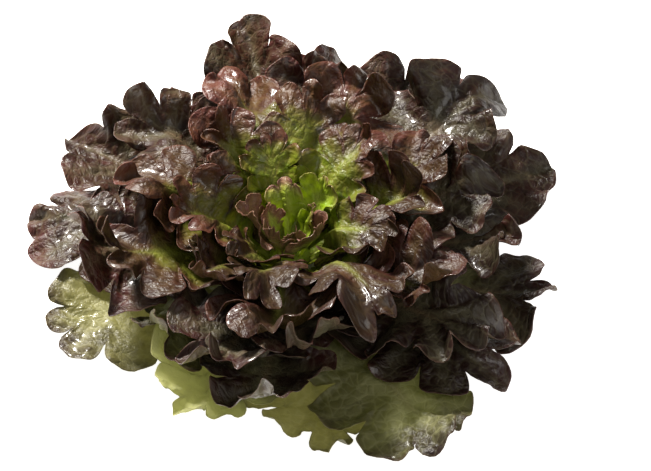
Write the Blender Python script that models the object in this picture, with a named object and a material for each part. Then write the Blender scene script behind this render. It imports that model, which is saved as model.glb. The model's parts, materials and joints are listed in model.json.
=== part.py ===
"""A cut head of red oak leaf lettuce: a short stem, forty-two lobed leaves round it and a small heart.

Each leaf is a sheet laid on a family of nested cups. A cup is the surface that one arc makes when it is
swept round the head's axis. Layer 0 lies on the ground and each layer above it stands steeper, so sheets
that keep their order of layers never meet. Each leaf is first drawn flat, then ruffled, then laid over
the leaves outside it. Sizes are in metres, +Z is up, and the stem's cut face is centred on the origin.
"""

import math
from dataclasses import dataclass

import bmesh
import bpy
import numpy as np

# The family of cups: how steeply an arc leaves the stem, and how fast it bends back down
STEEPEST_LAYER = 1.6
GROUND_RISE = math.radians(-4)
RISE_RANGE = math.radians(94)
RISE_RATE = 0.6
BEND_SERIES = (-0.5, 8.0, -1.5)
ROOT_RADIUS = (0.0175, 0.0085)
ROOT_HEIGHT = (0.0045, 0.0260)

# The leaves, from the outermost to the innermost
GOLDEN_ANGLE = math.radians(137.508)
LEAF_COUNT = 42
LEAF_LAYERS = (0.02, 0.77)
LEAF_LENGTH = 0.150
LEAF_HALF_WIDTH = 0.050
HEART_COUNT = 8
HEART_LAYERS = (1.07, 1.20)
HEART_LENGTHS = (0.048, 0.026)
HEART_HALF_WIDTHS = (0.022, 0.012)
# Azimuth in degrees and reach of each of the outermost leaves
OUTER_LEAVES = (
    (194, 0.135), (280, 0.126), (28, 0.163), (243, 0.120), (165, 0.151), (348, 0.148),
    (79, 0.150), (301, 0.167), (222, 0.102), (57, 0.157), (148, 0.148), (262, 0.132),
    (320, 0.146), (99, 0.152), (184, 0.130), (358, 0.132), (126, 0.116), (41, 0.159),
)
PETIOLE_HALF_WIDTH = 0.0070
HEART_PETIOLE_HALF_WIDTH = 0.0032

# A flat leaf: how far its midrib goes, and how its veins leave it, first towards the tip and then sideways
MIDRIB_SHARE = 0.74
MIDRIB_POWER = 1.55
WIDEST_FAN = math.radians(80)
FANNED_BY = 0.62
SHOULDER = 0.42
STALK_FROM = 0.56
STALK_SPAN = 0.30
JITTER = 0.03
# The share of a notch's depth that it has at the tip, and what that share gains towards the stalk
NOTCH_AT_TIP = 0.7
NOTCH_GAIN = 0.5
# How far each lobe bulges past its base, as a share of the outline that it takes
CLUB = 0.12

# A ruffled leaf: broad waves, a curl for each lobe, and a frill that dies out down the stalk
BROAD_WAVES = 4
BROAD_NORM = 2.2
# How much more the lobes curl up than down
UPWARD = 0.2
FRILL_WAVES = (23, 31)
FLAT_FROM = 0.62
FLAT_SPAN = 0.25
# How much smaller the waves of the innermost leaf are
INNER_SHRINK = 0.58

# Thickness where the rib stands out under the blade
RIB_THICKNESS = 0.0022
HEART_RIB_THICKNESS = 0.0012

# The room kept between one leaf's upper face and the next
ROOM = 0.0027
DRAPE_SOFTNESS = 0.010

# The raster that holds how high the leaves laid so far reach
ANGLE_CELLS = 360
ALONG_CELLS = 76
ALONG_REACH = 0.190
ALONG_STEP = ALONG_REACH / (ALONG_CELLS - 1)

# How often a mesh's cells are sounded along each side, and how many times they are then lifted
SOUNDINGS = 8
LIFTS = 4

BLADE_THICKNESS = 0.0008
RIB_HALF_WIDTH = 0.0065

# How finely a leaf's solid is cut: broad outer leaves take three rows, and the others two with more lobes
STEPS_PER_LOBE = 4
OUTER_CUT = 2.5
INNER_CUT = 3.0
PETIOLE_STEPS = 3
OUTER_ROWS = (0.0, 0.40, 0.74, 1.0)
INNER_ROWS = (0.0, 0.58, 1.0)
OUTER_ROWS_UNTIL = 21
HEART_STEPS = 9
HEART_ROWS = (0.0, 0.55, 1.0)

# The stem and the growing tip
GAP = 0.0003
CUT_FACE_RADIUS = 0.0145
BUTT_RADIUS = 0.0164
BUTT_EDGE = 0.0015
STEM_INSET = (0.0010, 0.0005)
STEM_TOP = 0.0200
TIP_SHOULDER = 0.0272
TIP_SWELL = 0.0007
TIP_TOP = 0.0360
ROUND_SIDES = 24
STEM_RINGS = 4
TIP_RINGS = 5


@dataclass
class Leaf:
    """One leaf. Lobes are counted down one side, with the one at the tip as the first half."""

    name: str
    azimuth: float
    layer: float
    length: float
    half_width: float
    petiole: float
    rib: float
    lobes: float
    notch: float
    cleft: float
    broad_wave: float
    curl: float
    hollow: float
    twist: float
    frill: float
    tip_lift: float
    side_lift: float
    phase: np.ndarray
    strength: np.ndarray


def ease(x):
    """0 below 0, 1 above 1, and a smooth step between."""
    x = np.clip(x, 0, 1)
    return x * x * (3 - 2 * x)


def cup_angles(layer):
    """The arc's slope where it leaves the stem, and how much slope it loses for each metre."""
    rise = GROUND_RISE + RISE_RANGE * (1 - np.exp(-RISE_RATE * layer)) / (
        1 - math.exp(-RISE_RATE * STEEPEST_LAYER)
    )
    bend = sum(c * layer**k for k, c in enumerate(BEND_SERIES))
    return rise, np.where(np.abs(bend) < 1e-5, 1e-5, bend)


def cup(along, layer):
    """Radius and height of the point at the distance along on a layer's arc."""
    rise, bend = cup_angles(layer)
    radius = ROOT_RADIUS[0] + (ROOT_RADIUS[1] - ROOT_RADIUS[0]) * layer
    height = ROOT_HEIGHT[0] + (ROOT_HEIGHT[1] - ROOT_HEIGHT[0]) * layer
    radius = radius + (np.sin(rise) - np.sin(rise - bend * along)) / bend
    height = height + (np.cos(rise - bend * along) - np.cos(rise)) / bend
    return radius, height


def cup_spacing(along, layer):
    """How far a point moves, in metres, for one whole layer."""
    step = 1e-3
    near, far = cup(along, layer), cup(along, layer + step)
    return np.hypot(far[0] - near[0], far[1] - near[1]) / step


def notched(leaf, u):
    """The share of its full length that the notches between lobes leave to a vein."""
    a = np.abs(u)
    lobe = np.abs(np.cos(math.pi * a * leaf.lobes)) ** leaf.cleft
    return 1 - leaf.notch * (1 - lobe) * (NOTCH_AT_TIP + NOTCH_GAIN * a)


def blade(leaf, u, v):
    """The flat leaf: the place across the midrib, along it, and the distance from it. u runs round the
    outline from one side of the stalk (-1) over the tip (0) to the other side (1), and v out from the
    midrib (0) to the edge (1) along veins that fan out towards the tip."""
    side = np.where(u < 0, -1.0, 1.0)
    midrib = MIDRIB_SHARE * leaf.length * (1 - np.abs(u) ** MIDRIB_POWER)
    jitter = np.sin(5 * u + leaf.phase[0, 2]) - math.sin(leaf.phase[0, 2])
    a = np.abs(u) + JITTER * jitter * (1 - np.abs(u))
    fan = WIDEST_FAN * (1 - (1 - np.clip(a / FANNED_BY, 0, 1)) ** 2)
    tip = (1 - MIDRIB_SHARE) * leaf.length
    vein = tip + (leaf.half_width - tip) * ease(a / SHOULDER)
    uneven = 0.09 * np.sin(2.2 * math.pi * u + leaf.phase[0, 0])
    uneven = uneven + 0.06 * np.sin(5 * math.pi * u + leaf.phase[0, 1])
    cut = notched(leaf, u)
    vein = vein * (1 + uneven) * cut
    stalk = ease((a - STALK_FROM) / STALK_SPAN)
    vein = vein * (1 - stalk) + leaf.petiole * stalk
    club = CLUB * (leaf.length + leaf.half_width) / leaf.lobes * cut**2 * v**2
    club = club * np.sin(2 * math.pi * np.abs(u) * leaf.lobes) * (1 - stalk) * ease(a / 0.1)
    across = side * (v * vein * np.sin(fan) + club * np.cos(fan))
    along = midrib + v * vein * np.cos(fan) - club * np.sin(fan)
    return across, np.maximum(along, 0), v * vein


def per_lobe(values, signed_count):
    """One value for each lobe, eased across the notch between it and the next."""
    shifted = signed_count + len(values) // 2
    low = np.clip(np.floor(shifted).astype(int), 0, len(values) - 2)
    return values[low] + (values[low + 1] - values[low]) * ease(shifted - low)


def ruffle(leaf, u, v):
    """How far the ruffled leaf stands over the smooth cup: broad waves, then each lobe's own curl, hollow
    and twist, a frill along the edge, and the lift of the tip and of the sides. All grow with the distance
    from the midrib as a share of a whole vein's length, so the floor of a notch stays low."""
    a, reach = np.abs(u), v * notched(leaf, u)
    on_blade = 1 - ease((a - FLAT_FROM) / FLAT_SPAN)
    broad = 0
    for k in range(BROAD_WAVES):
        broad = broad + leaf.strength[1, k] * np.sin((k + 2) * math.pi * u + leaf.phase[1, k])
    count = u * leaf.lobes
    curl, hollow, twist = np.cos(leaf.phase[2:])
    lobe = leaf.curl * (per_lobe(curl, count) + UPWARD) * (1.6 - 0.8 * reach**2)
    lobe = lobe + leaf.hollow * per_lobe(hollow, count) * np.sin(math.pi * count) ** 2
    lobe = lobe + leaf.twist * per_lobe(twist, count) * np.sin(2 * math.pi * count)
    frill = 0
    for k, waves in enumerate(FRILL_WAVES):
        frill = frill + leaf.strength[0, 5 + k] * np.sin(waves * math.pi * u + leaf.phase[0, 5 + k])
    lift = leaf.broad_wave * broad / BROAD_NORM * reach**1.6 + (lobe + leaf.side_lift) * reach**2
    lift = lift + leaf.frill * frill * reach**4
    return lift * on_blade + leaf.tip_lift * ease(1 - a / 0.5) * reach**1.5


def read(raster, angle, along):
    """The raster's value at each angle and distance, by interpolation between four cells."""
    p = (angle / (2 * math.pi) % 1) * ANGLE_CELLS
    q = np.clip(along / ALONG_STEP, 0, ALONG_CELLS - 1.001)
    p0, q0 = np.floor(p).astype(int), np.floor(q).astype(int)
    fp, fq = p - p0, q - q0
    p1, p0 = (p0 + 1) % ANGLE_CELLS, p0 % ANGLE_CELLS
    near = raster[p0, q0] * (1 - fp) + raster[p1, q0] * fp
    far = raster[p0, q0 + 1] * (1 - fp) + raster[p1, q0 + 1] * fp
    return near * (1 - fq) + far * fq


def widened(raster, angle_cells, along_cells):
    """Each cell takes the highest value within so many cells of it."""
    out = raster
    for k in range(1, angle_cells + 1):
        out = np.maximum(out, np.maximum(np.roll(raster, k, 0), np.roll(raster, -k, 0)))
    padded = np.pad(out, ((0, 0), (along_cells, along_cells)), mode="edge")
    return np.max([padded[:, k : k + ALONG_CELLS] for k in range(2 * along_cells + 1)], 0)


def blurred(raster, angle_cells, along_cells):
    """Each cell takes the mean of the cells within so many of it."""
    turns = range(-angle_cells, angle_cells + 1)
    out = np.mean([np.roll(raster, k, 0) for k in turns], 0)
    padded = np.pad(out, ((0, 0), (along_cells, along_cells)), mode="edge")
    return np.mean([padded[:, k : k + ALONG_CELLS] for k in range(2 * along_cells + 1)], 0)


def lay(leaf, u, v, below):
    """Angle round the axis, distance along the arc and layer of each point of a leaf. The layer is a
    smooth maximum of the one that the ruffled leaf wants and the one that the leaves below allow."""
    across, along, _ = blade(leaf, u, v)
    radius, _ = cup(along, leaf.layer)
    angle = leaf.azimuth + across / np.hypot(radius, 0.012)
    wanted = leaf.layer + ruffle(leaf, u, v) / cup_spacing(along, leaf.layer)
    allowed = read(below, angle, along)
    return angle, along, allowed + DRAPE_SOFTNESS * np.logaddexp(0, (wanted - allowed) / DRAPE_SOFTNESS)


def in_space(angle, along, layer):
    radius, height = cup(along, layer)
    return np.stack([radius * np.cos(angle), radius * np.sin(angle), height], -1)


def sounded(values):
    """Values on a mesh's grid, read off its flat cells at several places along each side."""
    for axis in (0, 1):
        near, far = (np.take(values, range(k, values.shape[axis] - 1 + k), axis) for k in (0, 1))
        steps = [near + (far - near) * k / SOUNDINGS for k in range(SOUNDINGS)]
        last = np.take(values, [-1], axis)
        shape = list(values.shape)
        shape[axis] = (shape[axis] - 1) * SOUNDINGS
        values = np.concatenate([np.stack(steps, axis + 1).reshape(shape), last], axis)
    return values


def settled(leaf, u, v, below):
    """A leaf's mesh laid over what is below it, then lifted wherever a flat cell would still dip."""
    angle, along, layer = lay(leaf, u, v, below)
    rows, columns = layer.shape
    for _ in range(LIFTS):
        short = read(below, sounded(angle), sounded(along)) - sounded(layer)
        short = np.maximum(short, 0)[:-1, :-1]
        short = short.reshape(rows - 1, SOUNDINGS, columns - 1, SOUNDINGS).max((1, 3))
        lift = np.zeros_like(layer)
        for i in (0, 1):
            for j in (0, 1):
                corner = lift[i : rows - 1 + i, j : columns - 1 + j]
                np.maximum(corner, short, out=corner)
        # The midrib's two halves are one line
        lift[:, 0] = np.maximum(lift[:, 0], lift[::-1, 0])
        layer = layer + lift
    return angle, along, layer


def stack(leaves, grids):
    """Each leaf's mesh on the leaves laid before it, from the outermost in, on its own grid of u and v."""
    reach = np.arange(ALONG_CELLS)[None, :] * ALONG_STEP
    highest = np.zeros((ANGLE_CELLS, ALONG_CELLS))
    laid = []
    for leaf, (u, v) in zip(leaves, grids):
        soft = blurred(blurred(widened(highest, 4, 3), 2, 1), 2, 2)
        laid.append(settled(leaf, u, v, soft + ROOM / cup_spacing(reach, soft)))
        angle, along, layer = (sounded(values) for values in laid[-1])
        p = np.round(angle / (2 * math.pi) * ANGLE_CELLS).astype(int) % ANGLE_CELLS
        q = np.clip(np.round(along / ALONG_STEP).astype(int), 0, ALONG_CELLS - 1)
        np.maximum.at(highest, (p, q), layer)
    return laid


def between(pair, share):
    return pair[0] + (pair[1] - pair[0]) * share


def grown_leaf(index, name, azimuth, layer, length, half_width, petiole, **form):
    """A leaf with its own waves, drawn from a generator seeded by its index."""
    draw = np.random.default_rng(100 + index)
    return Leaf(
        name=name, azimuth=azimuth, layer=layer, length=length, half_width=half_width, petiole=petiole,
        phase=draw.uniform(0, 2 * math.pi, (5, 12)), strength=draw.uniform(0.5, 1.0, (2, 12)), **form,
    )


def large_leaf(i, draw):
    """The leaf at place i, counted from the outermost. Further in, leaves get smaller, narrower and more
    deeply cut, with more lobes."""
    share = i / (LEAF_COUNT - 1)
    size = 1 - INNER_SHRINK * share**2
    if i < len(OUTER_LEAVES):
        azimuth, length = math.radians(OUTER_LEAVES[i][0]), OUTER_LEAVES[i][1]
    else:
        azimuth = GOLDEN_ANGLE * i + draw.normal(0, 0.15)
        length = (LEAF_LENGTH - 0.026 * share - 0.058 * share**3) * draw.uniform(0.94, 1.06)
    half_width = (LEAF_HALF_WIDTH - 0.008 * share - 0.014 * share**3) * draw.uniform(0.92, 1.10)
    return grown_leaf(
        i, f"leaf_{i + 1:02d}", azimuth, between(LEAF_LAYERS, share**0.9), length, half_width,
        PETIOLE_HALF_WIDTH * (1 - 0.40 * share), rib=RIB_THICKNESS * size,
        lobes=draw.uniform(4.4, 5.2) + 1.8 * share**2, notch=draw.uniform(0.66, 0.80) + 0.16 * share,
        cleft=0.6 + 0.4 * share, broad_wave=0.010 * size, curl=0.022 * size,
        hollow=0.014 * size, twist=0.013 * size, frill=0.0020 * size,
        tip_lift=draw.uniform(-0.012, 0.020) * size, side_lift=draw.uniform(-0.008, 0.008) * size,
    )


def heart_leaf(j, draw):
    """The heart's leaf at place j, counted from its outermost."""
    share = j / (HEART_COUNT - 1)
    return grown_leaf(
        200 + j, f"heart_leaf_{j + 1:02d}", GOLDEN_ANGLE * (LEAF_COUNT + j) + 0.5,
        between(HEART_LAYERS, share), between(HEART_LENGTHS, share), between(HEART_HALF_WIDTHS, share),
        HEART_PETIOLE_HALF_WIDTH, rib=HEART_RIB_THICKNESS, lobes=draw.uniform(3.5, 4.5), notch=0.75,
        cleft=0.8, broad_wave=0.003, curl=0.004, hollow=0.003, twist=0.003, frill=0.0010,
        tip_lift=draw.uniform(0.000, 0.005), side_lift=0.0,
    )


def plant():
    """The large leaves and then the heart's, from the outermost in."""
    draw = np.random.default_rng(7)
    large = [large_leaf(i, draw) for i in range(LEAF_COUNT)]
    return large + [heart_leaf(j, draw) for j in range(HEART_COUNT)]


def material(name, colour, roughness):
    made = bpy.data.materials.new(name)
    made.use_nodes = True
    surface = made.node_tree.nodes["Principled BSDF"]
    surface.inputs["Base Color"].default_value = (*colour, 1)
    surface.inputs["Roughness"].default_value = roughness
    surface.inputs["Metallic"].default_value = 0
    return made


def grid_of(index, leaf):
    """A leaf's grid: four places to a lobe, so that lobes stay round, then a few down the stalk."""
    if index >= LEAF_COUNT:
        half = np.linspace(0, 1, HEART_STEPS + 1)
        rows = HEART_ROWS
    else:
        outer = index < OUTER_ROWS_UNTIL
        rows = OUTER_ROWS if outer else INNER_ROWS
        count = round(STEPS_PER_LOBE * (OUTER_CUT if outer else INNER_CUT))
        on_blade = np.arange(count + 1) / STEPS_PER_LOBE / leaf.lobes
        down = on_blade[-1] + (1 - on_blade[-1]) * np.arange(1, PETIOLE_STEPS + 1) / PETIOLE_STEPS
        half = np.concatenate([on_blade, down])
    return np.meshgrid(np.concatenate([-half[:0:-1], half]), rows, indexing="ij")


def sheet(leaf, u, v, place):
    """The leaf's upper face as a mesh of triangles, with each vertex's share of the rib's thickness."""
    _, along, from_rib = blade(leaf, u, v)
    taper = np.clip(1 - along / (0.9 * leaf.length), 0, 1)
    rib = taper * np.clip(1 - (from_rib / RIB_HALF_WIDTH) ** 2, 0, 1)
    steps, rows = u.shape
    tip = steps // 2
    shape = bmesh.new()
    weight = shape.verts.layers.deform.verify()
    grid = [[None] * rows for _ in range(steps)]
    for i in range(steps):
        for j in range(rows):
            if j == 0 and i > tip:
                # The midrib's vertices belong to both halves
                grid[i][j] = grid[2 * tip - i][j]
                continue
            grid[i][j] = shape.verts.new(place[i, j])
            grid[i][j][weight][0] = float(rib[i, j])
    for i in range(steps - 1):
        for j in range(rows - 1):
            a, b, c, d = grid[i][j], grid[i + 1][j], grid[i + 1][j + 1], grid[i][j + 1]
            # Each half's diagonals mirror the other's
            cut = ((a, b, d), (b, c, d)) if i < tip else ((a, b, c), (a, c, d))
            for corners in cut:
                shape.faces.new(corners[::-1])
    mesh = bpy.data.meshes.new(leaf.name)
    shape.to_mesh(mesh)
    shape.free()
    return mesh


def leaf_object(leaf, grid, laid, finish):
    """A leaf's solid: the sheet, thickened downwards so that the rib stands out under the blade."""
    made = bpy.data.objects.new(leaf.name, sheet(leaf, *grid, in_space(*laid)))
    bpy.context.scene.collection.objects.link(made)
    made.data.materials.append(finish)
    made.vertex_groups.new(name="rib")
    thicken = made.modifiers.new("thickness", "SOLIDIFY")
    thicken.thickness = leaf.rib
    thicken.offset = -1
    thicken.use_quality_normals = True
    thicken.vertex_group = "rib"
    thicken.thickness_vertex_group = BLADE_THICKNESS / leaf.rib
    return made


def turned_object(name, profile, finish):
    """A solid of revolution about the axis, from (radius, height) points that start and end on it."""
    shape = bmesh.new()
    rings = []
    for radius, height in profile:
        turn = [2 * math.pi * k / ROUND_SIDES for k in range(ROUND_SIDES if radius else 1)]
        rings.append([shape.verts.new((radius * math.cos(a), radius * math.sin(a), height)) for a in turn])
    for low, high in zip(rings, rings[1:]):
        for k in range(ROUND_SIDES):
            n = (k + 1) % ROUND_SIDES
            corners = [low[k % len(low)], low[n % len(low)], high[n % len(high)], high[k % len(high)]]
            shape.faces.new(list(dict.fromkeys(corners)))
    mesh = bpy.data.meshes.new(name)
    shape.to_mesh(mesh)
    shape.free()
    made = bpy.data.objects.new(name, mesh)
    bpy.context.scene.collection.objects.link(made)
    made.data.materials.append(finish)
    return made


def root_radius_at(height):
    """Radius of the line of leaf roots at a height."""
    layer = (height - ROOT_HEIGHT[0]) / (ROOT_HEIGHT[1] - ROOT_HEIGHT[0])
    return between(ROOT_RADIUS, layer)


def stem_object(finish):
    """The stem: a flat cut face with a softened edge, then a cone just inside the line of leaf roots."""
    cone = []
    for k in range(STEM_RINGS + 1):
        height = between((ROOT_HEIGHT[0], STEM_TOP), k / STEM_RINGS)
        cone.append((root_radius_at(height) - between(STEM_INSET, k / STEM_RINGS), height))
    profile = [(0, 0), (CUT_FACE_RADIUS, 0), (BUTT_RADIUS, BUTT_EDGE), *cone, (0, STEM_TOP)]
    return turned_object("stem", profile, finish)


def growing_tip(finish):
    """The tip that the heart's leaves stand on: inside the line of roots at its foot, and past it above."""
    foot = STEM_TOP + GAP
    profile = [(0, foot)]
    profile.append((root_radius_at(foot) - STEM_INSET[1], foot))
    profile.append((root_radius_at(TIP_SHOULDER) - STEM_INSET[1], TIP_SHOULDER))
    for k in range(TIP_RINGS):
        height = between((TIP_SHOULDER + GAP, TIP_TOP), k / TIP_RINGS)
        profile.append((root_radius_at(height) + TIP_SWELL, height))
    profile.append((0, TIP_TOP))
    return turned_object("heart", profile, finish)


def heart_object(leaves, grids, laid, finish):
    """The heart: the young leaves, joined to the growing tip."""
    heart = growing_tip(finish)
    young = bpy.data.collections.new("young leaves")
    bpy.context.scene.collection.children.link(young)
    for parts in zip(leaves, grids, laid):
        made = leaf_object(*parts, finish)
        bpy.context.scene.collection.objects.unlink(made)
        young.objects.link(made)
    join = heart.modifiers.new("join", "BOOLEAN")
    join.operation = "UNION"
    join.operand_type = "COLLECTION"
    join.collection = young
    join.solver = "MANIFOLD"
    graph = bpy.context.evaluated_depsgraph_get()
    joined = bpy.data.meshes.new_from_object(heart.evaluated_get(graph))
    heart.modifiers.clear()
    heart.data = joined
    for made in list(young.objects):
        bpy.data.objects.remove(made)
    bpy.data.collections.remove(young)
    return heart


def main():
    for old in list(bpy.data.objects):
        bpy.data.objects.remove(old)
    leaves = plant()
    grids = [grid_of(index, leaf) for index, leaf in enumerate(leaves)]
    laid = stack(leaves, grids)
    red = material("red leaf", (0.060, 0.026, 0.020), 0.42)
    green = material("green leaf", (0.150, 0.240, 0.030), 0.45)
    pale = material("pale stem", (0.520, 0.560, 0.330), 0.50)
    for parts in list(zip(leaves, grids, laid))[:LEAF_COUNT]:
        leaf_object(*parts, red)
    heart_object(leaves[LEAF_COUNT:], grids[LEAF_COUNT:], laid[LEAF_COUNT:], green)
    stem_object(pale)


main()
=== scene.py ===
"""The looks of one cut head of red oak leaf lettuce: forty-two lobed leaves, a heart and the stem.

Each leaf is worked out again on a fine grid from the same rules as its solid. A leaf is a sheet laid on a
family of nested cups, the surfaces that arcs make when they are swept round the head's axis. Layer 0 lies
on the ground and higher layers stand steeper, so sheets that keep their order never meet. Metres, +Z up.
"""

import json
import math
from dataclasses import dataclass

import bpy
import numpy as np
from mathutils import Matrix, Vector


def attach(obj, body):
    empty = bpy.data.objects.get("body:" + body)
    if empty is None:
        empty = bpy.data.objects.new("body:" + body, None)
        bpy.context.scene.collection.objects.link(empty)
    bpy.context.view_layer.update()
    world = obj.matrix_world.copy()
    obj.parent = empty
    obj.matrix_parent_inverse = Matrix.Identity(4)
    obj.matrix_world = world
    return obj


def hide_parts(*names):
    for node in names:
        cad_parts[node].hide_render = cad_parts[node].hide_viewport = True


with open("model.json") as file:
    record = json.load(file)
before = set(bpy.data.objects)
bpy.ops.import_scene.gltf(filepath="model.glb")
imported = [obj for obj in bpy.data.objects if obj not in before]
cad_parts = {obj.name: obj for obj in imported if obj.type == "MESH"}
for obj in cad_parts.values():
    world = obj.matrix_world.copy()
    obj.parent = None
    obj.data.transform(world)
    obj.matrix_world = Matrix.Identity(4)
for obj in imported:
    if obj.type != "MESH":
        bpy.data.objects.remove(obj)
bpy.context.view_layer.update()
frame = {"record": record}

# The family of cups: how steeply an arc leaves the stem, and how fast it bends back down
STEEPEST_LAYER = 1.6
GROUND_RISE = math.radians(-4)
RISE_RANGE = math.radians(94)
RISE_RATE = 0.6
BEND_SERIES = (-0.5, 8.0, -1.5)
ROOT_RADIUS = (0.0175, 0.0085)
ROOT_HEIGHT = (0.0045, 0.0260)

# The leaves, from the outermost to the innermost
GOLDEN_ANGLE = math.radians(137.508)
LEAF_COUNT = 42
LEAF_LAYERS = (0.02, 0.77)
LEAF_LENGTH = 0.150
LEAF_HALF_WIDTH = 0.050
HEART_COUNT = 8
HEART_LAYERS = (1.07, 1.20)
HEART_LENGTHS = (0.048, 0.026)
HEART_HALF_WIDTHS = (0.022, 0.012)
# Azimuth in degrees and reach of each of the outermost leaves
OUTER_LEAVES = (
    (194, 0.135), (280, 0.126), (28, 0.163), (243, 0.120), (165, 0.151), (348, 0.148),
    (79, 0.150), (301, 0.167), (222, 0.102), (57, 0.157), (148, 0.148), (262, 0.132),
    (320, 0.146), (99, 0.152), (184, 0.130), (358, 0.132), (126, 0.116), (41, 0.159),
)
PETIOLE_HALF_WIDTH = 0.0070
HEART_PETIOLE_HALF_WIDTH = 0.0032

# A flat leaf: how far its midrib goes, and how its veins leave it, first towards the tip and then sideways
MIDRIB_SHARE = 0.74
MIDRIB_POWER = 1.55
WIDEST_FAN = math.radians(80)
FANNED_BY = 0.62
SHOULDER = 0.42
STALK_FROM = 0.56
STALK_SPAN = 0.30
JITTER = 0.03
# The share of a notch's depth that it has at the tip, and what that share gains towards the stalk
NOTCH_AT_TIP = 0.7
NOTCH_GAIN = 0.5
# How far each lobe bulges past its base, as a share of the outline that it takes
CLUB = 0.12

# A ruffled leaf: broad waves, a curl for each lobe, and a frill that dies out down the stalk
BROAD_WAVES = 4
BROAD_NORM = 2.2
# How much more the lobes curl up than down
UPWARD = 0.2
FRILL_WAVES = (23, 31)
FLAT_FROM = 0.62
FLAT_SPAN = 0.25
# How much smaller the waves of the innermost leaf are
INNER_SHRINK = 0.58

# Thickness where the rib stands out under the blade
RIB_THICKNESS = 0.0022
HEART_RIB_THICKNESS = 0.0012

# The room kept between one leaf's upper face and the next
ROOM = 0.0027
DRAPE_SOFTNESS = 0.010

# The raster that holds how high the leaves laid so far reach
ANGLE_CELLS = 360
ALONG_CELLS = 76
ALONG_REACH = 0.190
ALONG_STEP = ALONG_REACH / (ALONG_CELLS - 1)

# How green each of the outermost leaves is, from dark red at 0 to green at 1 and pale green above that
OUTER_GREEN = (
    0.70, 0.88, 0.25, 1.35, 0.40, 0.35,
    0.10, 0.72, 0.70, 0.20, 0.15, 0.30,
    0.15, 0.10, 0.15, 0.20, 0.10, 0.10,
)

# The leaves' grids, thickness and relief
LEAF_GRID = (236, 22)
HEART_GRID = (150, 15)
BLADE_THICKNESS = 0.0004
RIB_HALF_WIDTH = 0.0045
RIB_COLOUR_HALF_WIDTH = 0.0026
# Where the midrib's thickness runs out, as a share of the leaf's length
RIB_END = 0.95
# Blisters: their height, how far apart they are across and along the leaf, and how their rows bend
BLISTER = 0.0007
BLISTER_SPAN = (0.0150, 0.0120)
BLISTER_BEND = 1.6
BLISTER_BEND_SPAN = (0.024, 0.021)
# Folds that run out into each lobe
FOLD = 0.0009
FOLDS_PER_LOBE = 2
FOLD_BEND = 0.35
FOLD_BENDS = 9
# Waves along the edge, which start this share of the way out from the midrib
WAVE = 0.0018
WAVE_SPAN = 0.024
WAVE_FROM = 0.55
# Small teeth of the outline, as a share of a vein's length
CRENATION = 0.008
CRENATIONS = 43
# Grooves over the midrib and the main veins
GROOVE = 0.0005
GROOVE_HALF_WIDTH = 0.0016
# How far apart the veins end along one side of a leaf, all together, in half-widths of the leaf
VEIN_FAN = 2.2
# What a fine surface keeps of a solid leaf's notches, on the outermost leaf and the innermost: the share of
# their depth, and of the power that widens them
NOTCH_KEPT = (0.80, 0.74)
CLEFT_KEPT = (0.80, 0.75)
# The share of each lobe's curl, hollow and twist that the outermost leaf keeps, because it lies nearly
# flat, and how far in, as a share of the way to the innermost, leaves start to keep them whole
CURL_KEPT = 0.30
WHOLE_CURL_FROM = 0.36
# How far above the floor the lowest leaf stays
CLEARANCE = 0.0003

# How green the inner leaves are: the least, and what the innermost adds all round and at its greenest side
INNER_GREEN = (0.05, 0.28, 0.24)
HEART_GREEN = 0.36
# Where leaves are greener and redder than others, and where the painted shade is darkest, on the side of
# the head away from the key light, as azimuths
INNER_GREENEST_AT = math.radians(85)
HEART_REDDEST_AT = math.radians(235)
PAINTED_SHADE_AT = math.radians(295)
# How far each radian of azimuth moves a leaf through the noise, so that leaves don't look alike
PATTERN_SHIFT = 0.3

# How far apart the features of a leaf's skin are
PATCH_SPAN = 0.030
MOTTLE_SPAN = 0.006
GRAIN_SPAN = 0.0016
WINE_SPAN = 0.045
WET_SPAN = 0.018
NET_SPAN = 0.0060
FINE_NET_SPAN = 0.0022
# How far the net of veins wanders from straight walls, and over what distance
NET_WANDER = 0.0040
NET_WANDER_SPAN = 0.012
SKIN_RELIEF = 0.0007

# The stem and the growing tip
CUT_FACE_RADIUS = 0.0145
BUTT_RADIUS = 0.0164
STEM_TOP = 0.0200
TIP_TOP = 0.0360
ROUND_SIDES = 96
SCAR_DEPTH = 0.0004
# How far the stem's sides reach past the line of leaf roots, so that the roots are sunk in it
ROOT_SINK = 0.0014
STREAK_SPAN = 0.0022
SPOT_SPAN = 0.0030
STEM_RELIEF = 0.0006

# The view and the light
LENS_MM = 200
LENS_SHIFT = 0.055
CAMERA_DISTANCE = 2.13
CAMERA_ELEVATION = math.radians(50)
CAMERA_TARGET = (0.0, 0.0, 0.040)
LIGHT_TARGET = (0.0, 0.0, 0.05)
SKY_STRENGTH = 0.22
FLOOR_HALF_SIDE = 3.0


@dataclass
class Leaf:
    """One leaf. Lobes are counted down one side, with the one at the tip as the first half."""

    name: str
    azimuth: float
    layer: float
    length: float
    half_width: float
    petiole: float
    rib: float
    lobes: float
    notch: float
    cleft: float
    broad_wave: float
    curl: float
    hollow: float
    twist: float
    frill: float
    tip_lift: float
    side_lift: float
    phase: np.ndarray
    strength: np.ndarray


def ease(x):
    """0 below 0, 1 above 1, and a smooth step between."""
    x = np.clip(x, 0, 1)
    return x * x * (3 - 2 * x)


def cup_angles(layer):
    """The arc's slope where it leaves the stem, and how much slope it loses for each metre."""
    rise = GROUND_RISE + RISE_RANGE * (1 - np.exp(-RISE_RATE * layer)) / (
        1 - math.exp(-RISE_RATE * STEEPEST_LAYER)
    )
    bend = sum(c * layer**k for k, c in enumerate(BEND_SERIES))
    return rise, np.where(np.abs(bend) < 1e-5, 1e-5, bend)


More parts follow.
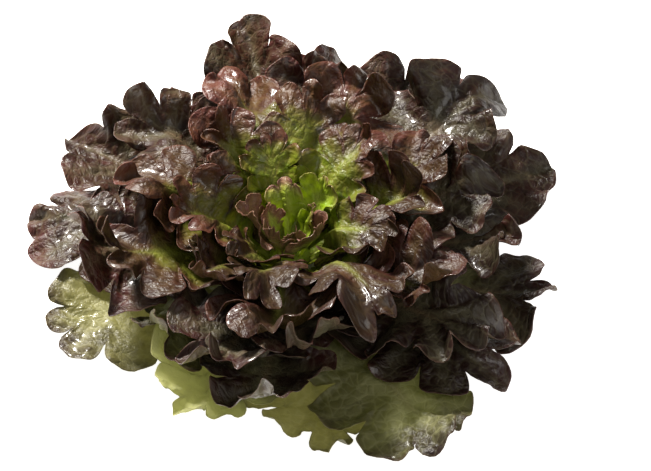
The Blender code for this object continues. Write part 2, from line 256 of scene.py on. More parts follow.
def cup(along, layer):
    """Radius and height of the point at the distance along on a layer's arc."""
    rise, bend = cup_angles(layer)
    radius = ROOT_RADIUS[0] + (ROOT_RADIUS[1] - ROOT_RADIUS[0]) * layer
    height = ROOT_HEIGHT[0] + (ROOT_HEIGHT[1] - ROOT_HEIGHT[0]) * layer
    radius = radius + (np.sin(rise) - np.sin(rise - bend * along)) / bend
    height = height + (np.cos(rise - bend * along) - np.cos(rise)) / bend
    return radius, height


def cup_spacing(along, layer):
    """How far a point moves, in metres, for one whole layer."""
    step = 1e-3
    near, far = cup(along, layer), cup(along, layer + step)
    return np.hypot(far[0] - near[0], far[1] - near[1]) / step


def notched(leaf, u):
    """The share of its full length that the notches between lobes leave to a vein."""
    a = np.abs(u)
    lobe = np.abs(np.cos(math.pi * a * leaf.lobes)) ** leaf.cleft
    return 1 - leaf.notch * (1 - lobe) * (NOTCH_AT_TIP + NOTCH_GAIN * a)


def blade(leaf, u, v):
    """The flat leaf: the place across the midrib, along it, and the distance from it. u runs round the
    outline from one side of the stalk (-1) over the tip (0) to the other side (1), and v out from the
    midrib (0) to the edge (1) along veins that fan out towards the tip."""
    side = np.where(u < 0, -1.0, 1.0)
    midrib = MIDRIB_SHARE * leaf.length * (1 - np.abs(u) ** MIDRIB_POWER)
    jitter = np.sin(5 * u + leaf.phase[0, 2]) - math.sin(leaf.phase[0, 2])
    a = np.abs(u) + JITTER * jitter * (1 - np.abs(u))
    fan = WIDEST_FAN * (1 - (1 - np.clip(a / FANNED_BY, 0, 1)) ** 2)
    tip = (1 - MIDRIB_SHARE) * leaf.length
    vein = tip + (leaf.half_width - tip) * ease(a / SHOULDER)
    uneven = 0.09 * np.sin(2.2 * math.pi * u + leaf.phase[0, 0])
    uneven = uneven + 0.06 * np.sin(5 * math.pi * u + leaf.phase[0, 1])
    cut = notched(leaf, u)
    vein = vein * (1 + uneven) * cut
    vein = vein * (1 + CRENATION * np.sin(CRENATIONS * math.pi * u + leaf.phase[0, 7]))
    stalk = ease((a - STALK_FROM) / STALK_SPAN)
    vein = vein * (1 - stalk) + leaf.petiole * stalk
    club = CLUB * (leaf.length + leaf.half_width) / leaf.lobes * cut**2 * v**2
    club = club * np.sin(2 * math.pi * np.abs(u) * leaf.lobes) * (1 - stalk) * ease(a / 0.1)
    across = side * (v * vein * np.sin(fan) + club * np.cos(fan))
    along = midrib + v * vein * np.cos(fan) - club * np.sin(fan)
    return across, np.maximum(along, 0), v * vein


def per_lobe(values, signed_count):
    """One value for each lobe, eased across the notch between it and the next."""
    shifted = signed_count + len(values) // 2
    low = np.clip(np.floor(shifted).astype(int), 0, len(values) - 2)
    return values[low] + (values[low + 1] - values[low]) * ease(shifted - low)


def ruffle(leaf, u, v):
    """How far the ruffled leaf stands over the smooth cup: broad waves, then each lobe's own curl, hollow
    and twist, a frill along the edge, and the lift of the tip and of the sides. All grow with the distance
    from the midrib as a share of a whole vein's length, so the floor of a notch stays low."""
    a, reach = np.abs(u), v * notched(leaf, u)
    on_blade = 1 - ease((a - FLAT_FROM) / FLAT_SPAN)
    broad = 0
    for k in range(BROAD_WAVES):
        broad = broad + leaf.strength[1, k] * np.sin((k + 2) * math.pi * u + leaf.phase[1, k])
    count = u * leaf.lobes
    curl, hollow, twist = np.cos(leaf.phase[2:])
    lobe = leaf.curl * (per_lobe(curl, count) + UPWARD) * (1.6 - 0.8 * reach**2)
    lobe = lobe + leaf.hollow * per_lobe(hollow, count) * np.sin(math.pi * count) ** 2
    lobe = lobe + leaf.twist * per_lobe(twist, count) * np.sin(2 * math.pi * count)
    frill = 0
    for k, waves in enumerate(FRILL_WAVES):
        frill = frill + leaf.strength[0, 5 + k] * np.sin(waves * math.pi * u + leaf.phase[0, 5 + k])
    lift = leaf.broad_wave * broad / BROAD_NORM * reach**1.6 + (lobe + leaf.side_lift) * reach**2
    lift = lift + leaf.frill * frill * reach**4
    return lift * on_blade + leaf.tip_lift * ease(1 - a / 0.5) * reach**1.5


def read(raster, angle, along):
    """The raster's value at each angle and distance, by interpolation between four cells."""
    p = (angle / (2 * math.pi) % 1) * ANGLE_CELLS
    q = np.clip(along / ALONG_STEP, 0, ALONG_CELLS - 1.001)
    p0, q0 = np.floor(p).astype(int), np.floor(q).astype(int)
    fp, fq = p - p0, q - q0
    p1, p0 = (p0 + 1) % ANGLE_CELLS, p0 % ANGLE_CELLS
    near = raster[p0, q0] * (1 - fp) + raster[p1, q0] * fp
    far = raster[p0, q0 + 1] * (1 - fp) + raster[p1, q0 + 1] * fp
    return near * (1 - fq) + far * fq


def widened(raster, angle_cells, along_cells):
    """Each cell takes the highest value within so many cells of it."""
    out = raster
    for k in range(1, angle_cells + 1):
        out = np.maximum(out, np.maximum(np.roll(raster, k, 0), np.roll(raster, -k, 0)))
    padded = np.pad(out, ((0, 0), (along_cells, along_cells)), mode="edge")
    return np.max([padded[:, k : k + ALONG_CELLS] for k in range(2 * along_cells + 1)], 0)


def blurred(raster, angle_cells, along_cells):
    """Each cell takes the mean of the cells within so many of it."""
    turns = range(-angle_cells, angle_cells + 1)
    out = np.mean([np.roll(raster, k, 0) for k in turns], 0)
    padded = np.pad(out, ((0, 0), (along_cells, along_cells)), mode="edge")
    return np.mean([padded[:, k : k + ALONG_CELLS] for k in range(2 * along_cells + 1)], 0)


def lay(leaf, u, v, below):
    """Angle round the axis, distance along the arc and layer of each point of a leaf. The layer is a
    smooth maximum of the one that the ruffled leaf wants and the one that the leaves below allow."""
    across, along, _ = blade(leaf, u, v)
    radius, _ = cup(along, leaf.layer)
    angle = leaf.azimuth + across / np.hypot(radius, 0.012)
    wanted = leaf.layer + ruffle(leaf, u, v) / cup_spacing(along, leaf.layer)
    allowed = read(below, angle, along)
    return angle, along, allowed + DRAPE_SOFTNESS * np.logaddexp(0, (wanted - allowed) / DRAPE_SOFTNESS)


def in_space(angle, along, layer):
    """The points in metres, from their angle, distance along the arc and layer."""
    radius, height = cup(along, layer)
    return np.stack([radius * np.cos(angle), radius * np.sin(angle), height], -1)


def stack(leaves, grids):
    """Each leaf laid on the leaves before it, from the outermost in, on its own grid of u and v."""
    reach = np.arange(ALONG_CELLS)[None, :] * ALONG_STEP
    highest = np.zeros((ANGLE_CELLS, ALONG_CELLS))
    laid = []
    for leaf, (u, v) in zip(leaves, grids):
        soft = blurred(blurred(widened(highest, 4, 3), 2, 1), 2, 2)
        laid.append(lay(leaf, u, v, soft + ROOM / cup_spacing(reach, soft)))
        angle, along, layer = laid[-1]
        p = np.round(angle / (2 * math.pi) * ANGLE_CELLS).astype(int) % ANGLE_CELLS
        q = np.clip(np.round(along / ALONG_STEP).astype(int), 0, ALONG_CELLS - 1)
        np.maximum.at(highest, (p, q), layer)
    return laid


def between(pair, share):
    """From the pair's first value to its second as the share goes from 0 to 1."""
    return pair[0] + (pair[1] - pair[0]) * share


def grown_leaf(index, name, azimuth, layer, length, half_width, petiole, **form):
    """A leaf with its own waves, drawn from a generator seeded by its index."""
    draw = np.random.default_rng(100 + index)
    return Leaf(
        name=name, azimuth=azimuth, layer=layer, length=length, half_width=half_width, petiole=petiole,
        phase=draw.uniform(0, 2 * math.pi, (5, 12)), strength=draw.uniform(0.5, 1.0, (2, 12)), **form,
    )


def large_leaf(i, draw):
    """The leaf at place i, counted from the outermost. Further in, leaves get smaller, narrower and more
    deeply cut, with more lobes."""
    share = i / (LEAF_COUNT - 1)
    size = 1 - INNER_SHRINK * share**2
    if i < len(OUTER_LEAVES):
        azimuth, length = math.radians(OUTER_LEAVES[i][0]), OUTER_LEAVES[i][1]
    else:
        azimuth = GOLDEN_ANGLE * i + draw.normal(0, 0.15)
        length = (LEAF_LENGTH - 0.026 * share - 0.058 * share**3) * draw.uniform(0.94, 1.06)
    half_width = (LEAF_HALF_WIDTH - 0.008 * share - 0.014 * share**3) * draw.uniform(0.92, 1.10)
    return grown_leaf(
        i, f"leaf_{i + 1:02d}", azimuth, between(LEAF_LAYERS, share**0.9), length, half_width,
        PETIOLE_HALF_WIDTH * (1 - 0.40 * share), rib=RIB_THICKNESS * size,
        lobes=draw.uniform(4.4, 5.2) + 1.8 * share**2, notch=draw.uniform(0.66, 0.80) + 0.16 * share,
        cleft=0.6 + 0.4 * share, broad_wave=0.010 * size, curl=0.022 * size,
        hollow=0.014 * size, twist=0.013 * size, frill=0.0020 * size,
        tip_lift=draw.uniform(-0.012, 0.020) * size, side_lift=draw.uniform(-0.008, 0.008) * size,
    )


def heart_leaf(j, draw):
    """The heart's leaf at place j, counted from its outermost."""
    share = j / (HEART_COUNT - 1)
    return grown_leaf(
        200 + j, f"heart_leaf_{j + 1:02d}", GOLDEN_ANGLE * (LEAF_COUNT + j) + 0.5,
        between(HEART_LAYERS, share), between(HEART_LENGTHS, share), between(HEART_HALF_WIDTHS, share),
        HEART_PETIOLE_HALF_WIDTH, rib=HEART_RIB_THICKNESS, lobes=draw.uniform(3.5, 4.5), notch=0.75,
        cleft=0.8, broad_wave=0.003, curl=0.004, hollow=0.003, twist=0.003, frill=0.0010,
        tip_lift=draw.uniform(0.000, 0.005), side_lift=0.0,
    )


def plant():
    """The large leaves and then the heart's, from the outermost in."""
    draw = np.random.default_rng(7)
    large = [large_leaf(i, draw) for i in range(LEAF_COUNT)]
    return large + [heart_leaf(j, draw) for j in range(HEART_COUNT)]


def fine_grid(steps, rows):
    """u in equal steps, and v in steps that shorten towards the edge."""
    out = np.linspace(0, 1, rows + 1)
    return np.meshgrid(np.linspace(-1, 1, steps + 1), 1 - (1 - out) ** 1.25, indexing="ij")


def normals_of(surface):
    """The sheet's upward normal at each grid point, shared by the two halves along the midrib."""
    along_u = np.gradient(surface, axis=0)
    along_v = np.gradient(surface, axis=1)
    normal = np.cross(along_v, along_u)
    normal[:, 0] = normal[:, 0] + normal[::-1, 0]
    return normal / np.maximum(np.linalg.norm(normal, axis=-1, keepdims=True), 1e-12)


def relief(leaf, u, v):
    """Blisters between the veins, as a product of two bent rows of waves over the flat leaf, folds that
    run out into each lobe, waves along the edge, and a groove along the midrib and along the vein that
    leads to each lobe."""
    across, along, out = blade(leaf, u, v)
    one, two, three = leaf.phase[1, 8:11]
    turn = 2 * math.pi
    row_bend = BLISTER_BEND * np.sin(turn * along / BLISTER_BEND_SPAN[0] + one)
    column_bend = BLISTER_BEND * np.sin(turn * across / BLISTER_BEND_SPAN[1] + two)
    rows = np.sin(turn * across / BLISTER_SPAN[0] + row_bend)
    columns = np.sin(turn * along / BLISTER_SPAN[1] + column_bend)
    count = np.abs(u) * leaf.lobes
    reach = v * notched(leaf, u)
    from_vein = np.abs(count - np.round(count)) / leaf.lobes * VEIN_FAN * leaf.half_width * v
    groove = np.exp(-(from_vein / GROOVE_HALF_WIDTH) ** 2) * (1 - 0.6 * v) * ease(v / 0.1)
    rib = np.exp(-(out / GROOVE_HALF_WIDTH) ** 2)
    vein = np.maximum(groove, rib)
    bent = FOLDS_PER_LOBE * count + FOLD_BEND * np.sin(FOLD_BENDS * v + three)
    small = leaf.half_width / LEAF_HALF_WIDTH
    folds = small * np.sin(turn * bent) * reach**1.5 * (1 - 0.5 * v**3)
    outline = np.abs(u) * (leaf.length + leaf.half_width)
    waves = np.sin(turn * outline / WAVE_SPAN + three + 2.0 * np.sin(5 * u + two))
    waves = waves * reach**2 * ease((v - WAVE_FROM) / (1 - WAVE_FROM))
    stalk = 1 - ease((np.abs(u) - FLAT_FROM) / FLAT_SPAN)
    lift = BLISTER * small * rows * columns * ease(v / 0.3) + FOLD * folds + WAVE * small * waves
    return lift * stalk - GROOVE * vein, vein


def greenness(index, leaf):
    """0 for a dark red leaf and 1 for a green one. Further in, leaves are greener at the back, and the
    heart's leaves are greener at the back right."""
    if index < len(OUTER_GREEN):
        return OUTER_GREEN[index]
    if index < LEAF_COUNT:
        least, all_round, at_greenest = INNER_GREEN
        towards = math.cos(leaf.azimuth - INNER_GREENEST_AT)
        return least + (all_round + at_greenest * towards) * (index / (LEAF_COUNT - 1)) ** 2
    return HEART_GREEN - HEART_GREEN * math.cos(leaf.azimuth - HEART_REDDEST_AT)


def tone(leaf):
    """Painted light by azimuth: 0 for the leaves in front, on the side away from the key light, which get
    the darkest painted shade, and 1 for those at the back, which are painted lightest.
    """
    return 0.5 - 0.5 * math.cos(leaf.azimuth - PAINTED_SHADE_AT)


def leaf_surface(leaf, grid, laid, green):
    """Both faces of a leaf, and what its material reads at each of their points."""
    u, v = grid
    across, along, out = blade(leaf, u, v)
    lift, vein = relief(leaf, u, v)
    place = in_space(*laid)
    normal = normals_of(place)
    top = place + normal * lift[..., None]
    taper = np.clip(1 - along / (RIB_END * leaf.length), 0, 1)
    rib = (leaf.rib - BLADE_THICKNESS) * taper * np.exp(-((out / RIB_HALF_WIDTH) ** 2))
    bottom = top - normal * (BLADE_THICKNESS + rib)[..., None]
    bottom[..., 2] = np.maximum(bottom[..., 2], CLEARANCE)
    top[..., 2] = np.maximum(top[..., 2], CLEARANCE + BLADE_THICKNESS)
    facts = {
        "flat": np.stack([across, along, np.full_like(u, PATTERN_SHIFT * leaf.azimuth)], -1),
        "vein": vein,
        "edge": v,
        "rib": taper * np.exp(-((out / RIB_COLOUR_HALF_WIDTH) ** 2)),
        "root": 1 - along / leaf.length,
        "green": np.full_like(u, green),
        # Painted light: leaves in front get painted shade and those at the back are painted lighter
        "tone": np.full_like(u, tone(leaf)),
    }
    return top, bottom, facts


def solid_faces(steps, rows):
    """Quads of a closed leaf on two grids: the upper face, the lower face turned over, and a rim along
    the outline and the root. The second half's midrib points are the first half's."""
    size = (steps + 1) * (rows + 1)
    upper = np.arange(size).reshape(steps + 1, rows + 1)
    tip = steps // 2
    upper[tip + 1 :, 0] = upper[tip - 1 :: -1, 0]
    lower = upper + size
    a, b, c, d = upper[:-1, :-1], upper[1:, :-1], upper[1:, 1:], upper[:-1, 1:]
    faces = [np.stack([d, c, b, a], -1), np.stack([a, b, c, d], -1) + size]
    outline = np.stack([upper[1:, -1], upper[:-1, -1], lower[:-1, -1], lower[1:, -1]], -1)
    start = np.stack([upper[0, 1:], upper[0, :-1], lower[0, :-1], lower[0, 1:]], -1)
    end = np.stack([upper[-1, :-1], upper[-1, 1:], lower[-1, 1:], lower[-1, :-1]], -1)
    return np.concatenate([part.reshape(-1, 4) for part in (*faces, outline, start, end)])


def solid_arrays(leaf, grid, laid, green):
    """Points, quads and attributes of one closed leaf, with unused points dropped."""
    top, bottom, facts = leaf_surface(leaf, grid, laid, green)
    faces = solid_faces(top.shape[0] - 1, top.shape[1] - 1)
    points = np.concatenate([top.reshape(-1, 3), bottom.reshape(-1, 3)])
    used, faces = np.unique(faces, return_inverse=True)
    both = {}
    for name, values in facts.items():
        flat = values.reshape(top.shape[0] * top.shape[1], -1)
        both[name] = np.concatenate([flat, flat])[used]
    both["under"] = (used >= top.shape[0] * top.shape[1]).astype(float)[:, None]
    return points[used], [faces.reshape(-1, 4)], both


def piece_of(name, solids, finish):
    """One mesh object from one or more closed solids: each has points, blocks of faces and attributes."""
    points = np.concatenate([solid[0] for solid in solids])
    starts = np.cumsum([0] + [len(solid[0]) for solid in solids])
    faces = []
    for solid, start in zip(solids, starts):
        for block in solid[1]:
            faces += (block + start).tolist()
    mesh = bpy.data.meshes.new(name)
    mesh.from_pydata(points.tolist(), [], faces)
    for key in solids[0][2]:
        values = np.concatenate([solid[2][key] for solid in solids]).astype(np.float32)
        if values.shape[1] == 3:
            mesh.attributes.new(key, "FLOAT_VECTOR", "POINT").data.foreach_set("vector", values.ravel())
        else:
            mesh.attributes.new(key, "FLOAT", "POINT").data.foreach_set("value", values.ravel())
    mesh.shade_smooth()
    mesh.materials.append(finish)
    piece = bpy.data.objects.new(name, mesh)
    bpy.context.scene.collection.objects.link(piece)
    return piece


class Wire:
    """A socket in a sum: each operator adds the Math node that it names."""

    def __init__(self, paint, socket):
        self.paint = paint
        self.socket = socket

    def maths(self, operation, first, second=0.0):
        return self.paint.add("ShaderNodeMath", {"operation": operation}, {0: first, 1: second})

    def __add__(self, other):
        return self.maths("ADD", self, other)

    def __sub__(self, other):
        return self.maths("SUBTRACT", self, other)

    def __rsub__(self, other):
        return self.maths("SUBTRACT", other, self)

    def __mul__(self, other):
        return self.maths("MULTIPLY", self, other)

    __radd__ = __add__
    __rmul__ = __mul__


class Paint:
    """A material while its nodes are laid out."""

    def __init__(self, name):
        self.material = bpy.data.materials.new(name)
        self.material.use_nodes = True
        self.tree = self.material.node_tree
        self.surface = self.tree.nodes["Principled BSDF"]
        self.output = self.tree.nodes["Material Output"]

    def feed(self, socket, value):
        """Links a wire to the socket, or sets any other value on it."""
        if isinstance(value, Wire):
            self.tree.links.new(value.socket, socket)
        else:
            socket.default_value = value

    def add(self, kind, settings, sockets, output=0):
        """A node of that kind, with its settings made first and then its sockets fed."""
        node = self.tree.nodes.new(kind)
        for name, value in settings.items():
            setattr(node, name, value)
        for name, value in sockets.items():
            self.feed(node.inputs[name], value)
        return Wire(self, node.outputs[output])

    def fact(self, name, output="Fac"):
        """What the mesh's attribute of that name holds."""
        return self.add("ShaderNodeAttribute", {"attribute_name": name}, {}, output)

    def mix(self, share, first, second):
        """From the first colour to the second as the share goes from 0 to 1."""
        sockets = {0: share, 6: first, 7: second}
        return self.add("ShaderNodeMix", {"data_type": "RGBA"}, sockets, 2)

    def step(self, value, low, high):
        """0 below low, 1 above high, and a smooth step between."""
        settings = {"interpolation_type": "SMOOTHSTEP"}
        return self.add("ShaderNodeMapRange", settings, {0: value, 1: low, 2: high, 3: 0.0, 4: 1.0})

    def noise(self, place, span, detail=3.0, roughness=0.55):
        """Smooth noise whose largest features are about a span apart."""
        sockets = {"Vector": place, "Scale": 1 / span, "Detail": detail, "Roughness": roughness}
        return self.add("ShaderNodeTexNoise", {}, sockets)

    def cells(self, place, span):
        """Distance to the nearest wall of a net of cells that are about a span across."""
        settings = {"feature": "DISTANCE_TO_EDGE"}
        return self.add("ShaderNodeTexVoronoi", settings, {"Vector": place, "Scale": 1 / span})

    def wander(self, place, span, reach):
        """A vector that turns smoothly from place to place and is at most the reach long each way."""
        turned = self.add("ShaderNodeTexNoise", {}, {"Vector": place, "Scale": 1 / span}, "Color")
        middle = (0.5, 0.5, 0.5)
        centred = self.add("ShaderNodeVectorMath", {"operation": "SUBTRACT"}, {0: turned, 1: middle})
        return self.add("ShaderNodeVectorMath", {"operation": "SCALE"}, {0: centred, "Scale": 2 * reach})

    def bump(self, height, distance, strength):
        """Relief in the surface's normal, where a height of 1 stands out by the distance."""
        sockets = {"Height": height, "Distance": distance, "Strength": strength}
        self.feed(self.surface.inputs["Normal"], self.add("ShaderNodeBump", {}, sockets))

    def finish(self, colour, roughness, constants=()):
        """Feeds the surface's colour and roughness, and sets what is the same all over."""
        self.feed(self.surface.inputs["Base Color"], colour)
        self.feed(self.surface.inputs["Roughness"], roughness)
        for name, value in dict(constants).items():
            self.surface.inputs[name].default_value = value
        return self.material


@dataclass
class LeafLook:
    """The colours of one kind of leaf, as linear red, green and blue."""

    dark: tuple
    light: tuple
    wine: tuple
    green: tuple
    pale: tuple
    rib: tuple
    # rim: partly the margin's own colour and partly a painted rim highlight
    rim: tuple
    glow: tuple
    greening: float
    glow_share: float


def solid_colour(rgb):
    return (*rgb, 1.0)


def leaf_paint(name, look):
    """A leaf: red or brown over green that shows towards the root and in patches, with a paler midrib and
    veins, a thin rim whose colour is partly the margin's own and partly a painted rim highlight, a paler
    underside, painted shade on the leaves in front and painted light on those at the back, a fine net of
    veins in relief, wet patches, and light that glows through the blade, most where it is green."""
    paint = Paint(name)
    flat = paint.fact("flat", "Vector")
    edge, vein, root, green, painted_light_of_leaf, under, rib = (
        paint.fact(key) for key in ("edge", "vein", "root", "green", "tone", "under", "rib")
    )
    patches = paint.noise(flat, PATCH_SPAN)
    mottle = paint.noise(flat, MOTTLE_SPAN, 4.0)
    grain = paint.noise(flat, GRAIN_SPAN, 2.0)
    wander = paint.wander(flat, NET_WANDER_SPAN, NET_WANDER)
    warped = paint.add("ShaderNodeVectorMath", {"operation": "ADD"}, {0: flat, 1: wander})
    net = paint.cells(warped, NET_SPAN)
    fine_net = paint.cells(warped, FINE_NET_SPAN)
    veins = 1 - paint.step(net, 0.01, 0.12)
    bared = green + root * look.greening + patches * 0.7 + mottle * 0.25 - edge * 0.25
    greened = paint.step(bared, 0.85, 1.30)
    # Painted light: this mix from dark to light red also follows each leaf's azimuth, as painted shade in
    # front and painted light at the back; its patches, mottle and paler underside are the leaf's own colour
    blush_and_painted_light = paint.step(patches * 0.8 + mottle * 0.7 + under * 0.2 + painted_light_of_leaf * 0.45, 0.82, 1.50)
    red = paint.mix(blush_and_painted_light, solid_colour(look.dark), solid_colour(look.light))
    wine = paint.step(paint.noise(flat, WINE_SPAN, 1.0) + edge * 0.15, 0.58, 0.74)
    red = paint.mix(wine * (0.25 + blush_and_painted_light * 0.6), red, solid_colour(look.wine))
    pallor = paint.step(green, 0.95, 1.30)
    leaf_green = paint.mix(pallor, solid_colour(look.green), solid_colour(look.pale))
    colour = paint.mix(greened, red, leaf_green)
    veined = (veins * 0.26 + vein * 0.50) * (0.2 + greened * 0.8)
    colour = paint.mix(veined, colour, solid_colour(look.pale))
    colour = paint.mix(rib * 0.75, colour, solid_colour(look.rib))
    # Along the outline: partly the margin's own colour and partly a painted rim highlight
    colour = paint.mix(paint.step(edge, 0.965, 1.0) * patches * 0.4, colour, solid_colour(look.rim))
    colour = paint.mix(under * (0.08 + greened * 0.30), colour, solid_colour(look.pale))
    height = paint.step(net, 0.0, 0.30) + paint.step(fine_net, 0.0, 0.30) * 0.4
    height = height + mottle * 0.4 + grain * 0.4
    paint.bump(height, SKIN_RELIEF, 0.58)
    wet = paint.step(paint.noise(flat, WET_SPAN, 2.0), 0.50, 0.66)
    paint.feed(paint.surface.inputs["Coat Weight"], wet * 0.50)
    constants = {"Specular IOR Level": 0.30, "Coat Roughness": 0.13}
    paint.finish(colour, 0.38 + mottle * 0.20 - wet * 0.06, constants)
    through = paint.add("ShaderNodeBsdfTranslucent", {}, {"Color": solid_colour(look.glow)})
    share = look.glow_share * (0.10 + greened * 0.90 + pallor * 0.45) * (1 - rib * 0.6)
    sockets = {0: share, 1: Wire(paint, paint.surface.outputs[0]), 2: through}
    paint.feed(paint.output.inputs["Surface"], paint.add("ShaderNodeMixShader", {}, sockets))
    return paint.material


LOOKS = {
    "outer_leaf": LeafLook(
        dark=(0.018, 0.011, 0.005), light=(0.058, 0.037, 0.015), wine=(0.050, 0.020, 0.013),
        green=(0.165, 0.155, 0.060), pale=(0.450, 0.430, 0.240), rib=(0.400, 0.420, 0.200),
        rim=(0.130, 0.080, 0.040), glow=(0.58, 0.56, 0.28), greening=0.50, glow_share=0.48,
    ),
    "middle_leaf": LeafLook(
        dark=(0.0120, 0.0034, 0.0018), light=(0.044, 0.0128, 0.0052), wine=(0.058, 0.0085, 0.0080),
        green=(0.105, 0.102, 0.034), pale=(0.420, 0.410, 0.220), rib=(0.180, 0.110, 0.055),
        rim=(0.130, 0.032, 0.024), glow=(0.56, 0.57, 0.28), greening=0.45, glow_share=0.38,
    ),
    "inner_leaf": LeafLook(
        dark=(0.021, 0.0062, 0.0034), light=(0.068, 0.0235, 0.0095), wine=(0.088, 0.018, 0.014),
        green=(0.150, 0.232, 0.003), pale=(0.230, 0.170, 0.045), rib=(0.310, 0.360, 0.060),
        rim=(0.160, 0.050, 0.034), glow=(0.56, 0.60, 0.02), greening=0.88, glow_share=0.42,
    ),
    "heart_leaf": LeafLook(
        dark=(0.085, 0.030, 0.022), light=(0.250, 0.115, 0.085), wine=(0.200, 0.060, 0.060),
        green=(0.250, 0.380, 0.007), pale=(0.380, 0.410, 0.080), rib=(0.400, 0.460, 0.110),
        rim=(0.250, 0.130, 0.080), glow=(0.60, 0.70, 0.03), greening=0.66, glow_share=0.45,
    ),
}


def stem_paint():
    """The cut stem: pale green sides streaked down their length, and a cut face with a creamy middle, a
    ring of darker bundles, and an edge that has dried brown."""
    paint = Paint("stem")
    place = paint.add("ShaderNodeTexCoord", {}, {}, 3)
    drawn_out = paint.add("ShaderNodeMapping", {}, {"Vector": place, "Scale": (1, 1, 0.15)})
    streaks = paint.noise(drawn_out, STREAK_SPAN, 4.0)
    spots = paint.noise(place, SPOT_SPAN, 4.0)
    face, out = paint.fact("face"), paint.fact("out")
    sides = paint.mix(streaks, (0.34, 0.38, 0.17, 1), (0.60, 0.62, 0.38, 1))
    ring = paint.step(out, 0.50, 0.66) - paint.step(out, 0.72, 0.86)
    cut = paint.mix(ring * (0.3 + spots * 0.5), (0.62, 0.58, 0.38, 1), (0.34, 0.32, 0.14, 1))
    browned = paint.step(out + spots * 0.30, 0.98, 1.18)
    cut = paint.mix(browned * 0.8, cut, (0.20, 0.10, 0.045, 1))
    colour = paint.mix(face, sides, cut)
    paint.bump(spots + streaks * 0.6, STEM_RELIEF, 0.5)
    return paint.finish(colour, 0.42 + spots * 0.2)


def material_slot_of(node):
    for row in frame["record"]["subparts"]:
        if row["node"] == node:
            return row["material_slot"]
    raise KeyError(node)


def dress(piece, node):
    """The piece stands for the node and rides where it does."""
    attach(piece, "root")
    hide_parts(node)


def root_radius_at(height):
    """Radius of the line of leaf roots at a height."""
    return between(ROOT_RADIUS, (height - ROOT_HEIGHT[0]) / (ROOT_HEIGHT[1] - ROOT_HEIGHT[0]))


def turned_arrays(profile, facts):
    """A solid of revolution: each ring is a point of the profile (radius, height) turned round the axis,
    with leaf scars that dent its sides a little, and both ends close on the axis."""
    radius, height = np.array(profile).T
    turn = np.arange(ROUND_SIDES) / ROUND_SIDES * 2 * math.pi
    dent = SCAR_DEPTH * np.sin(5 * turn + 260 * height[:, None]) * np.sin(3 * turn + 1)
    ring = radius[:, None] + dent * np.clip(height[:, None] / 0.004, 0, 1)
    level = np.repeat(height[:, None], ROUND_SIDES, 1)
    points = np.stack([ring * np.cos(turn), ring * np.sin(turn), level], -1).reshape(-1, 3)
    poles = [(0, 0, height[0]), (0, 0, height[-1])]
    index = np.arange(len(points)).reshape(len(radius), ROUND_SIDES)
    after = np.roll(index, -1, 1)
    sides = np.stack([index[:-1], after[:-1], after[1:], index[1:]], -1).reshape(-1, 4)
    foot, top = (np.full(ROUND_SIDES, len(points) + k) for k in (0, 1))
    ends = np.concatenate([
        np.stack([after[0], index[0], foot], -1),
        np.stack([index[-1], after[-1], top], -1),
    ])
    spread = {}
    for name, (on_rings, on_poles) in facts.items():
        spread[name] = np.append(np.repeat(on_rings, ROUND_SIDES), on_poles)[:, None]
    return np.concatenate([points, poles]), [sides, ends], spread


def make_stem():
    """The stem, from its cut face up into the leaf roots."""
    profile = [(CUT_FACE_RADIUS * share, 0.0) for share in (0.25, 0.5, 0.75, 1.0)]
    edge = np.linspace(0.25, 1, 4) * math.pi / 2
    reach, rise = BUTT_RADIUS - CUT_FACE_RADIUS, 0.0015
    profile += [(CUT_FACE_RADIUS + reach * math.sin(a), rise * (1 - math.cos(a))) for a in edge]
    heights = np.linspace(0.003, STEM_TOP, 12)
    profile += [(root_radius_at(height) + ROOT_SINK, height) for height in heights]
    out = [radius / BUTT_RADIUS for radius, _ in profile]
    face = [float(height < 0.0012) for _, height in profile]
    facts = {"face": (face, [1.0, 0.0]), "out": (out, [0.0, 1.0])}
    dress(piece_of("stem_body", [turned_arrays(profile, facts)], stem_paint()), "stem")


def tip_arrays():
    """The pale dome that the heart's leaves stand on, with a leaf's attributes for the heart's material."""
    heights = np.linspace(STEM_TOP, TIP_TOP, 10)
    shares = (heights - STEM_TOP) / (TIP_TOP - STEM_TOP)
    profile = [((root_radius_at(h) + ROOT_SINK) * (1 - 0.9 * s**4), h) for h, s in zip(heights, shares)]
    points, sides, _ = turned_arrays(profile, {})
    one = np.ones((len(points), 1))
    facts = {"flat": points, "vein": one * 0, "edge": one * 0.3, "rib": one * 0.3}
    # The growing tip takes the lightest painted light, with no painted shade
    return points, sides, {**facts, "root": one, "green": one, "tone": one, "under": one * 0}


def soften(leaf, share):
    """Makes a solid's leaf into a fine one at that share of the way in: shallower and rounder notches, and
    flatter lobes on the outermost leaves."""
    kept = between((CURL_KEPT, 1.0), ease(share / WHOLE_CURL_FROM))
    leaf.notch *= between(NOTCH_KEPT, share)
    leaf.cleft *= between(CLEFT_KEPT, share)
    leaf.curl *= kept
    leaf.hollow *= kept
    leaf.twist *= kept


def make_leaves():
    """Every leaf and the growing tip: one piece for each large leaf, and one for the heart's leaves."""
    leaves = plant()
    for place, leaf in enumerate(leaves):
        soften(leaf, min(place / LEAF_COUNT, 1))
    grids = [fine_grid(*(LEAF_GRID if i < LEAF_COUNT else HEART_GRID)) for i in range(len(leaves))]
    laid = stack(leaves, grids)
    paints = {name: leaf_paint(name, look) for name, look in LOOKS.items()}
    greens = [greenness(index, leaf) for index, leaf in enumerate(leaves)]
    solids = [solid_arrays(*parts) for parts in zip(leaves, grids, laid, greens)]
    for leaf, solid in list(zip(leaves, solids))[:LEAF_COUNT]:
        dress(piece_of(f"{leaf.name}_blade", [solid], paints[material_slot_of(leaf.name)]), leaf.name)
    dress(piece_of("heart_leaves", solids[LEAF_COUNT:], paints["heart_leaf"]), "heart")
    dress(piece_of("growing_tip", [tip_arrays()], paints["heart_leaf"]), "heart")


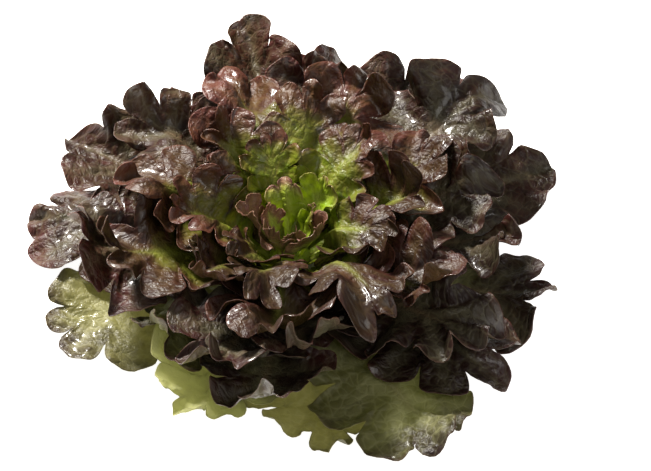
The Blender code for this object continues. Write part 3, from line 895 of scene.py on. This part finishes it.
def look_from(azimuth, elevation, distance, target):
    """A place at that distance from the target. Azimuth 0 looks along +Y."""
    back = Vector((
        math.sin(azimuth) * math.cos(elevation),
        -math.cos(azimuth) * math.cos(elevation),
        math.sin(elevation),
    ))
    return Vector(target) + back * distance


def aim(thing, target):
    thing.rotation_euler = (Vector(target) - thing.location).to_track_quat("-Z", "Y").to_euler()


def make_camera():
    """The photograph's view: from 50 degrees above, with the head a little left of the middle."""
    lens = bpy.data.cameras.new("camera")
    camera = bpy.data.objects.new("camera", lens)
    bpy.context.scene.collection.objects.link(camera)
    bpy.context.scene.camera = camera
    lens.lens = LENS_MM
    lens.shift_x = LENS_SHIFT
    lens.shift_y = 0.0
    camera.location = look_from(0.0, CAMERA_ELEVATION, CAMERA_DISTANCE, CAMERA_TARGET)
    aim(camera, CAMERA_TARGET)


def make_light(name, place, size, power, colour):
    """A square lamp that faces the head."""
    lamp = bpy.data.lights.new(name, "AREA")
    lamp.energy = power
    lamp.size = size
    lamp.color = colour
    light = bpy.data.objects.new(name, lamp)
    bpy.context.scene.collection.objects.link(light)
    light.location = place
    aim(light, LIGHT_TARGET)


def make_studio():
    """A white floor, soft light all round, and a key light from the upper left and behind."""
    world = bpy.data.worlds.new("studio")
    bpy.context.scene.world = world
    world.use_nodes = True
    sky = world.node_tree.nodes["Background"]
    sky.inputs["Color"].default_value = (1.0, 0.97, 0.90, 1)
    sky.inputs["Strength"].default_value = SKY_STRENGTH
    make_light("key", (-0.56, 0.72, 0.88), 0.20, 48.0, (1.0, 0.97, 0.91))
    make_light("fill", (0.50, -0.70, 1.00), 0.80, 5.5, (1.0, 0.98, 0.95))
    side = FLOOR_HALF_SIDE
    mesh = bpy.data.meshes.new("floor")
    corners = [(-side, -side, 0), (side, -side, 0), (side, side, 0), (-side, side, 0)]
    mesh.from_pydata(corners, [], [(0, 1, 2, 3)])
    floor = bpy.data.objects.new("floor", mesh)
    bpy.context.scene.collection.objects.link(floor)
    own_light = {"Emission Color": (1, 1, 1, 1), "Emission Strength": 0.9}
    mesh.materials.append(Paint("floor").finish((0.9, 0.9, 0.9, 1), 0.9, own_light))
    bpy.context.scene.view_settings.view_transform = "Standard"


make_camera()
make_studio()
make_stem()
make_leaves()
